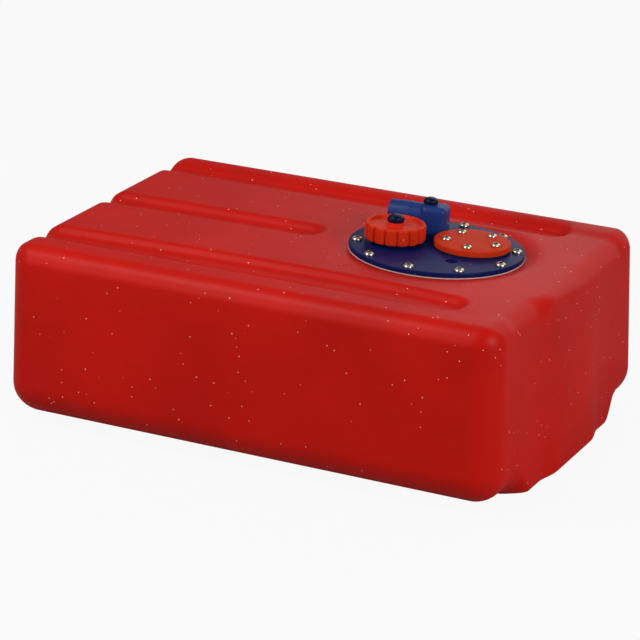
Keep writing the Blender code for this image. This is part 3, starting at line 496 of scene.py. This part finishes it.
def cap_mesh():
    rim_edge, step_edge = CAP_RIM_EDGE, CAP_STEP_EDGE
    floor_radius = CAP_RADIUS - CAP_RIM
    inner = NECK_RADIUS + 2 * GAP
    profile = [(0, CAP_BOSS_TOP)]
    profile += corner_arc(CAP_BOSS_RADIUS - step_edge, CAP_BOSS_TOP - step_edge, step_edge, 90, 0, 4)
    profile += corner_arc(CAP_BOSS_RADIUS + step_edge, CAP_FLOOR + step_edge, step_edge, 180, 270, 3)
    profile += [(radius, CAP_FLOOR) for radius in CAP_FLOOR_RINGS]
    profile += corner_arc(floor_radius - step_edge, CAP_FLOOR + step_edge, step_edge, 270, 330, 3)
    profile += corner_arc(floor_radius + CAP_RIM_SLOPE, CAP_TOP - step_edge, step_edge, 150, 90, 3)
    profile += corner_arc(CAP_RADIUS - rim_edge, CAP_TOP - rim_edge, rim_edge, 90, 0, 7)
    profile += [(CAP_RADIUS, mix(CAP_TOP - rim_edge, CAP_LOW, share)) for share in (0.25, 0.5, 0.75)]
    profile += corner_arc(CAP_RADIUS - step_edge, CAP_LOW + step_edge, step_edge, 0, -90, 3)
    profile += [(inner, CAP_LOW), (inner, CAP_UNDERSIDE), (0, CAP_UNDERSIDE)]
    bm = bmesh.new()
    turned(bm, profile, 480, at(CAP),
           lambda angle: notch_shape(angle, CAP_LOBES, CAP_LOBE_START, CAP_RADIUS, CAP_NOTCH,
                                     CAP_NOTCH_WIDTH),
           CAP_RADIUS - CAP_RIM, CAP_RADIUS - rim_edge / 2)
    return finished("filler_cap_skin", bm, CAP_SHARP_ANGLE)


def knob_mesh(name, size, seat, place):
    radius, height = size
    base = seat + GAP
    rim = height * KNOB_RIM_SHARE
    profile = [(0, base + height)]
    profile += [(radius * math.sin(math.radians(angle)) ** KNOB_DOME_POWER,
                 base + rim + (height - rim) * math.cos(math.radians(angle))) for angle in range(10, 91, 8)]
    profile += [(radius, base + rim / 2), (radius * KNOB_FOOT_SHARE, base), (KNOB_STEM, base),
                (KNOB_STEM, base - KNOB_STEM_LENGTH), (0, base - KNOB_STEM_LENGTH)]
    bm = bmesh.new()
    turned(bm, profile, 192, at(place),
           lambda angle: notch_shape(angle, KNOB_NOTCHES, 0.0, radius, KNOB_NOTCH, KNOB_NOTCH_WIDTH),
           radius * KNOB_NOTCH_SHARE, radius)
    return finished(name, bm, KNOB_SHARP_ANGLE)


def cover_mesh():
    profile = [(0, COVER_TOP), (COVER_RADIUS / 2, COVER_TOP)]
    profile += corner_arc(COVER_RADIUS - COVER_EDGE, COVER_TOP - COVER_EDGE, COVER_EDGE, 90, 0, 6)
    profile += [(COVER_RADIUS, COVER_LOW), (COVER_SPIGOT, COVER_LOW), (COVER_SPIGOT, PLATE_LOW),
                (0, PLATE_LOW)]
    bm = bmesh.new()
    turned(bm, profile, 144, at(COVER))
    return finished("gauge_cover_skin", bm)


def hexagon(angle, flat):
    """How far a hexagon reaches at an angle, with flats this far from its middle."""
    return flat / math.cos((angle % math.radians(60)) - math.radians(30))


def screw_heads(name, places, head, seat):
    """Domed heads with a socket, and a dark lining of painted shade down in each socket as a second mesh."""
    radius, height, shank, length = head
    base = seat + GAP
    top = base + height
    mouth_level, foot_level = top - SOCKET_SINK, top - height * SOCKET_DEPTH_SHARE
    profile = [(radius * HEAD_FLAT_SHARE, top)]
    profile += [(radius * math.sin(math.radians(angle)),
                 base + height * math.cos(math.radians(angle)) ** HEAD_DOME_POWER)
                for angle in range(38, 90, 8)]
    profile += [(radius, base), (shank, base), (shank, base - length), (0, base - length)]
    steps = 48
    heads, shade_linings = bmesh.new(), bmesh.new()
    for number, middle in enumerate(places):
        place = at(middle) @ Matrix.Rotation(SCREW_TURN * number, 4, "Z")
        turned(heads, profile, steps, place)
        rim, mouth, upper, lower = [], [], [], []
        for step in range(steps):
            angle = 2 * math.pi * step / steps
            reach = hexagon(angle, radius * SOCKET_FLAT_SHARE)
            for ring, bm, far, level in ((rim, heads, radius * HEAD_FLAT_SHARE, top),
                                         (mouth, heads, reach, mouth_level),
                                         (upper, shade_linings, reach, mouth_level),
                                         (lower, shade_linings, reach * SOCKET_TAPER_SHARE, foot_level)):
                point = Vector((far * math.cos(angle), far * math.sin(angle), level))
                ring.append(bm.verts.new(place @ point))
        for step in range(steps):
            after = (step + 1) % steps
            heads.faces.new((rim[step], mouth[step], mouth[after], rim[after]))
            shade_linings.faces.new((upper[step], lower[step], lower[after], upper[after]))
        shade_linings.faces.new(lower)
    bmesh.ops.remove_doubles(heads, verts=heads.verts, dist=WELD)
    return (finished(name + "_heads", heads, HEAD_SHARP_ANGLE),
            finished(name + "_socket_shade", shade_linings, SOCKET_SHARP_ANGLE))


def elbow_mesh():
    turn = at(ELBOW) @ Matrix.Rotation(ELBOW_HEADING, 4, "Z")
    bm = bmesh.new()
    block = Matrix.Translation((0, 0, (BLOCK_LOW + BLOCK_TOP) / 2)) @ Matrix.Diagonal((*BLOCK_SIZE, 1))
    bmesh.ops.create_cube(bm, size=1.0, matrix=block)
    upright = [edge for edge in bm.edges if abs(edge.verts[0].co.z - edge.verts[1].co.z) > WELD]
    bmesh.ops.bevel(bm, geom=upright, offset=BLOCK_CORNER, segments=10, profile=0.5, affect="EDGES")
    top = [edge for edge in bm.edges if all(vert.co.z > BLOCK_TOP - WELD for vert in edge.verts)]
    bmesh.ops.bevel(bm, geom=top, offset=BLOCK_FILLET, segments=8, profile=0.5, affect="EDGES")
    bmesh.ops.transform(bm, matrix=turn, verts=bm.verts)
    along = turn @ Matrix.Translation((0, 0, TAIL_AXIS)) @ Matrix.Rotation(math.radians(90), 4, "Y")
    start = TAIL_LENGTH - BARB_LENGTH
    lip = TAIL_LIP
    profile = [(0, TAIL_BORE_START), (ELBOW_BORE, TAIL_BORE_START), (ELBOW_BORE, TAIL_LENGTH - lip / 2),
               (ELBOW_BORE + lip / 2, TAIL_LENGTH)]
    profile += corner_arc(TAIL_TIP_RADIUS - lip, TAIL_LENGTH - lip, lip, 90, 0, 4)
    profile += [(BARB_RADIUS - BARB_TAPER, start + 2 * lip)]
    profile += corner_arc(BARB_RADIUS - lip / 2, start + lip, lip / 2, 0, -90, 3)
    profile += [(TAIL_NECK_RADIUS, start + lip / 4), (TAIL_NECK_RADIUS, 0), (0, 0)]
    turned(bm, profile, 96, along)
    boss = turn @ Matrix.Translation((BLEED_OFFSET, 0, 0))
    boss_low, spigot_high = BLOCK_TOP - BLEED_BOSS_ROOT, BLOCK_LOW + BOSS_OVERLAP
    turned(bm, [(0, BLEED_BOSS_TOP), (BLEED_BOSS_RADIUS - BLEED_BOSS_EDGE, BLEED_BOSS_TOP),
                (BLEED_BOSS_RADIUS, BLEED_BOSS_TOP - BLEED_BOSS_EDGE), (BLEED_BOSS_RADIUS, boss_low),
                (0, boss_low)], 64, boss)
    hole_end = SPIGOT_LOW + TUBE_HOLE_DEPTH
    turned(bm, [(0, spigot_high), (SPIGOT_RADIUS, spigot_high), (SPIGOT_RADIUS, SPIGOT_LOW),
                (TUBE_HOLE, SPIGOT_LOW), (TUBE_HOLE, hole_end), (0, hole_end)], 64, turn)
    return finished("outlet_elbow_skin", bm)


# Materials
MOTTLING = 0.10
CLOUD_SCALE = 9.0
SPECK_SCALE = 110.0
SPECK_SIZE = 0.055
GLOSS_SCALE = 30.0
GLOSS_SPREAD = (-0.04, 0.05)
WAVE_SCALE = 14.0
WAVE_HEIGHT = 0.0004
GRAIN_SCALE = 900.0
METAL_CLOUD_SCALE = 160.0
METAL_DULL_SHARE = 0.75
METAL_GLOSS_SCALE = 420.0
METAL_GLOSS_SPREAD = (-0.06, 0.10)
METAL_GRAIN_SCALE = 1500.0
METAL_GRAIN_HEIGHT = 0.00003


def srgb(red, green, blue):
    def linear(value):
        value = value / 255
        return value / 12.92 if value <= 0.04045 else ((value + 0.055) / 1.055) ** 2.4
    return (linear(red), linear(green), linear(blue), 1.0)


class Shader:
    """A small helper that chains nodes of one material."""

    def __init__(self, name):
        self.material = bpy.data.materials.new(name)
        self.material.use_nodes = True
        self.tree = self.material.node_tree
        self.main = self.tree.nodes["Principled BSDF"]
        self.place = self.add("ShaderNodeTexCoord").outputs["Object"]

    def add(self, kind, **settings):
        node = self.tree.nodes.new(kind)
        for key, value in settings.items():
            setattr(node, key, value)
        return node

    def link(self, source, target):
        self.tree.links.new(source, target)

    def noise(self, scale, detail, roughness=0.5):
        node = self.add("ShaderNodeTexNoise")
        node.inputs["Scale"].default_value = scale
        node.inputs["Detail"].default_value = detail
        node.inputs["Roughness"].default_value = roughness
        self.link(self.place, node.inputs["Vector"])
        return node.outputs["Fac"]

    def ramp(self, source, stops):
        """A ramp between two stops, each a position and a colour."""
        node = self.add("ShaderNodeValToRGB")
        for element, (position, color) in zip(node.color_ramp.elements, stops):
            element.position = position
            element.color = color
        self.link(source, node.inputs["Fac"])
        return node.outputs["Color"]

    def span(self, source, middle, spread):
        node = self.add("ShaderNodeMapRange")
        node.inputs["To Min"].default_value = middle + spread[0]
        node.inputs["To Max"].default_value = middle + spread[1]
        self.link(source, node.inputs["Value"])
        return node.outputs["Result"]

    def blend(self, factor, source, color):
        node = self.add("ShaderNodeMix", data_type="RGBA")
        self.link(factor, node.inputs["Factor"])
        self.link(source, node.inputs[6])
        node.inputs[7].default_value = color
        return node.outputs[2]

    def specks(self, scale, size, density):
        """Tiny spots: cells whose own random value is high, near their middle."""
        node = self.add("ShaderNodeTexVoronoi")
        node.inputs["Scale"].default_value = scale
        self.link(self.place, node.inputs["Vector"])
        near = self.add("ShaderNodeMath", operation="LESS_THAN")
        near.inputs[1].default_value = size
        self.link(node.outputs["Distance"], near.inputs[0])
        pick = self.add("ShaderNodeSeparateColor")
        self.link(node.outputs["Color"], pick.inputs["Color"])
        rare = self.add("ShaderNodeMath", operation="GREATER_THAN")
        rare.inputs[1].default_value = 1 - density
        self.link(pick.outputs["Red"], rare.inputs[0])
        both = self.add("ShaderNodeMath", operation="MULTIPLY")
        self.link(near.outputs[0], both.inputs[0])
        self.link(rare.outputs[0], both.inputs[1])
        return both.outputs[0]

    def bump(self, height, strength, distance, normal=None):
        node = self.add("ShaderNodeBump")
        node.inputs["Strength"].default_value = strength
        node.inputs["Distance"].default_value = distance
        self.link(height, node.inputs["Height"])
        if normal is not None:
            self.link(normal, node.inputs["Normal"])
        return node.outputs["Normal"]


def moulded(name, color, rough, speck_color=None, speck_density=0.0, grain=0.00006, shine=0.22):
    """Satin moulded plastic with soft mottling, fine grain, and a few pale specks."""
    shader = Shader(name)
    shader.main.inputs["Specular IOR Level"].default_value = shine
    base = srgb(*color)
    dark = tuple(value * (1 - MOTTLING) for value in base[:3]) + (1.0,)
    light = tuple(min(1.0, value * (1 + MOTTLING)) for value in base[:3]) + (1.0,)
    cloud = shader.noise(CLOUD_SCALE, 4.0, 0.55)
    tint = shader.ramp(cloud, [(0.30, dark), (0.70, light)])
    if speck_color is not None:
        spots = shader.specks(SPECK_SCALE, SPECK_SIZE, speck_density)
        tint = shader.blend(spots, tint, srgb(*speck_color))
    shader.link(tint, shader.main.inputs["Base Color"])
    gloss = shader.span(shader.noise(GLOSS_SCALE, 3.0), rough, GLOSS_SPREAD)
    shader.link(gloss, shader.main.inputs["Roughness"])
    waves = shader.bump(shader.noise(WAVE_SCALE, 2.0), 0.5, WAVE_HEIGHT)
    shader.link(shader.bump(shader.noise(GRAIN_SCALE, 2.0), 0.5, grain, waves), shader.main.inputs["Normal"])
    return shader.material


def metal(name, color, rough):
    """Plain metal with a faintly uneven colour and gloss."""
    shader = Shader(name)
    shader.main.inputs["Metallic"].default_value = 1.0
    base = srgb(*color)
    dull = tuple(value * METAL_DULL_SHARE for value in base[:3]) + (1.0,)
    tint = shader.ramp(shader.noise(METAL_CLOUD_SCALE, 4.0), [(0.30, dull), (0.65, base)])
    shader.link(tint, shader.main.inputs["Base Color"])
    gloss = shader.span(shader.noise(METAL_GLOSS_SCALE, 3.0), rough, METAL_GLOSS_SPREAD)
    shader.link(gloss, shader.main.inputs["Roughness"])
    grain = shader.bump(shader.noise(METAL_GRAIN_SCALE, 2.0), 0.3, METAL_GRAIN_HEIGHT)
    shader.link(grain, shader.main.inputs["Normal"])
    return shader.material


BY_SLOT = {
    "tank": moulded("tank_red", (190, 18, 7), 0.42, (255, 236, 218), 0.75, shine=0.11),
    "flange": moulded("flange_blue", (15, 25, 78), 0.34, (150, 150, 190), 0.10, shine=0.05),
    "fitting": moulded("fitting_blue", (28, 50, 112), 0.38, shine=0.16),
    "cap": moulded("cap_orange", (204, 44, 17), 0.40, (240, 190, 165), 0.20, shine=0.06),
    "cover": moulded("cover_orange", (196, 50, 20), 0.42, (240, 190, 165), 0.20, shine=0.02),
    "knob": moulded("knob_blue", (10, 13, 46), 0.30, shine=0.14),
    "gasket": moulded("gasket_pale", (205, 175, 165), 0.65),
    "rubber": moulded("rubber_black", (22, 22, 23), 0.70, grain=0.0001),
    "screw": metal("screw_steel", (236, 226, 200), 0.24),
    "insert": metal("insert_brass", (190, 150, 80), 0.35),
    "tube": moulded("tube_black", (24, 24, 26), 0.45),
    "strainer": moulded("strainer_blue", (40, 54, 100), 0.50)}
# Dark steel for the socket linings: painted shade, standing in for the shade down in each socket of the screw
# heads.
socket_painted_shade = metal("socket_painted_shade", (46, 38, 36), 0.50)
for part_row in frame["record"]["subparts"]:
    node_object = frame["nodes"][part_row["node"]]
    node_object.data.materials.clear()
    node_object.data.materials.append(BY_SLOT[part_row["material_slot"]])


# Pieces
add_piece("tank_skin", shell_mesh(), "tank", BY_SLOT["tank"], ["tank_shell"])
bleed_place = (ELBOW[0] + BLEED_OFFSET * math.cos(ELBOW_HEADING),
               ELBOW[1] + BLEED_OFFSET * math.sin(ELBOW_HEADING))
add_piece("flange_plate_skin", plate_mesh(), "tank", BY_SLOT["flange"], ["flange_plate"])
add_piece("filler_cap_skin", cap_mesh(), "cap", BY_SLOT["cap"], ["filler_cap"])
add_piece("gauge_cover_skin", cover_mesh(), "tank", BY_SLOT["cover"], ["gauge_cover"])
add_piece("outlet_elbow_skin", elbow_mesh(), "elbow", BY_SLOT["fitting"], ["outlet_elbow"])
add_piece("vent_knob_skin", knob_mesh("vent_knob_skin", VENT_KNOB, CAP_BOSS_TOP, CAP),
          "vent", BY_SLOT["knob"], ["vent_knob"])
add_piece("bleed_knob_skin", knob_mesh("bleed_knob_skin", BLEED_KNOB, BLEED_BOSS_TOP, bleed_place),
          "bleed", BY_SLOT["knob"], ["bleed_knob"])
for kind, count, circle, start, middle, head, seat in (
        ("flange_screw", SCREW_COUNT, SCREW_CIRCLE, SCREW_START, (0, 0), M6_HEAD, PLATE_TOP),
        ("gauge_screw", COVER_SCREW_COUNT, COVER_SCREW_CIRCLE, COVER_SCREW_START, COVER, M5_HEAD, COVER_TOP)):
    heads, socket_shade = screw_heads(kind, circle_places(count, circle, start, middle), head, seat)
    add_piece(kind + "_heads", heads, "tank", BY_SLOT["screw"],
              [f"{kind}_{number}" for number in range(1, count + 1)])
    # The socket linings carry painted shade: a dark colour in place of the shade inside each socket.
    add_piece(kind + "_socket_shade", socket_shade, "tank", socket_painted_shade)


# Camera, from the outline of the tank in the photograph
CAMERA_AZIMUTH = math.radians(26.430)
CAMERA_ELEVATION = math.radians(20.272)
CAMERA_ROLL = math.radians(0.891)
CAMERA_DISTANCE = 3.1684
CAMERA_LENS = 169.24
CAMERA_SIDE = -0.00357
CAMERA_UP = 0.08590
FLOOR_TO_RAILS = 0.0095
look = Vector((-math.sin(CAMERA_AZIMUTH) * math.cos(CAMERA_ELEVATION),
               math.cos(CAMERA_AZIMUTH) * math.cos(CAMERA_ELEVATION), -math.sin(CAMERA_ELEVATION)))
level_right = Vector((math.cos(CAMERA_AZIMUTH), math.sin(CAMERA_AZIMUTH), 0))
level_up = level_right.cross(look)
right_axis = math.cos(CAMERA_ROLL) * level_right + math.sin(CAMERA_ROLL) * level_up
up_axis = -math.sin(CAMERA_ROLL) * level_right + math.cos(CAMERA_ROLL) * level_up
camera_data = bpy.data.cameras.new("camera")
camera_data.lens = CAMERA_LENS
camera_data.clip_end = 50
camera = bpy.data.objects.new("camera", camera_data)
bpy.context.scene.collection.objects.link(camera)
camera_place = (-look * CAMERA_DISTANCE + right_axis * CAMERA_SIDE + up_axis * CAMERA_UP
                + Vector((0, 0, FLOOR_TO_RAILS)))
camera_turn = Matrix((right_axis, up_axis, -look)).transposed().to_4x4()
camera.matrix_world = Matrix.Translation(camera_place) @ camera_turn
bpy.context.scene.camera = camera


# Floor: to the camera nearly white of its own, with a share of its lit surface, which keeps the shadow
FLOOR_HALF = 12.0
FLOOR_DROP = 0.0002
FLOOR_GREY = (0.36, 0.36, 0.36, 1)
FLOOR_ROUGHNESS = 0.9
FLOOR_WHITE_SHARE = 0.93
floor_bm = bmesh.new()
bmesh.ops.create_grid(floor_bm, x_segments=1, y_segments=1, size=FLOOR_HALF)
floor_mesh = bpy.data.meshes.new("floor")
floor_bm.to_mesh(floor_mesh)
floor_bm.free()
floor = bpy.data.objects.new("floor", floor_mesh)
floor.location = (0, 0, -FLOOR_DROP)
bpy.context.scene.collection.objects.link(floor)
floor_paper = bpy.data.materials.new("floor_paper")
floor_paper.use_nodes = True
tree = floor_paper.node_tree
tree.nodes["Principled BSDF"].inputs["Base Color"].default_value = FLOOR_GREY
tree.nodes["Principled BSDF"].inputs["Roughness"].default_value = FLOOR_ROUGHNESS
paths = tree.nodes.new("ShaderNodeLightPath")
bright = tree.nodes.new("ShaderNodeEmission")
bright.inputs["Strength"].default_value = 1.0
seen = tree.nodes.new("ShaderNodeMath")
seen.operation = "MULTIPLY"
seen.inputs[1].default_value = FLOOR_WHITE_SHARE
tree.links.new(paths.outputs["Is Camera Ray"], seen.inputs[0])
combine = tree.nodes.new("ShaderNodeMixShader")
tree.links.new(seen.outputs[0], combine.inputs[0])
tree.links.new(tree.nodes["Principled BSDF"].outputs[0], combine.inputs[1])
tree.links.new(bright.outputs[0], combine.inputs[2])
tree.links.new(combine.outputs[0], tree.nodes["Material Output"].inputs["Surface"])
floor.data.materials.append(floor_paper)


# World: white to the camera and through glass, and a low even light for the rest
WORLD_LEVEL = 0.22
world = bpy.data.worlds.new("studio")
bpy.context.scene.world = world
world.use_nodes = True
tree = world.node_tree
tree.nodes["Background"].inputs["Color"].default_value = (1, 1, 1, 1)
paths = tree.nodes.new("ShaderNodeLightPath")
any_ray = tree.nodes.new("ShaderNodeMath")
any_ray.operation = "MAXIMUM"
tree.links.new(paths.outputs["Is Camera Ray"], any_ray.inputs[0])
tree.links.new(paths.outputs["Is Transmission Ray"], any_ray.inputs[1])
strength = tree.nodes.new("ShaderNodeMapRange")
strength.inputs["To Min"].default_value = WORLD_LEVEL
strength.inputs["To Max"].default_value = 1.0
tree.links.new(any_ray.outputs[0], strength.inputs["Value"])
tree.links.new(strength.outputs["Result"], tree.nodes["Background"].inputs["Strength"])


# Softboxes
def area_light(name, watts, size, location, target):
    light = bpy.data.lights.new(name, "AREA")
    light.energy = watts
    light.size = size
    obj = bpy.data.objects.new(name, light)
    obj.location = location
    obj.rotation_euler = (Vector(target) - Vector(location)).to_track_quat("-Z", "Y").to_euler()
    bpy.context.scene.collection.objects.link(obj)


area_light("back_softbox", 27.0, 3.2, (0.25, 2.8, 1.35), (0.0, 0.0, 0.1))
area_light("top_softbox", 21.0, 0.8, (-0.95, -0.95, 1.9), (0.0, 0.0, 0.1))
area_light("key_softbox", 18.0, 1.2, (-1.3, -2.4, 1.3), (-0.1, 0.0, 0.1))
area_light("fill_softbox", 50.0, 1.2, (2.75, -0.9, 1.25), (0.1, 0.0, 0.1))

bpy.context.scene.view_settings.view_transform = "Standard"
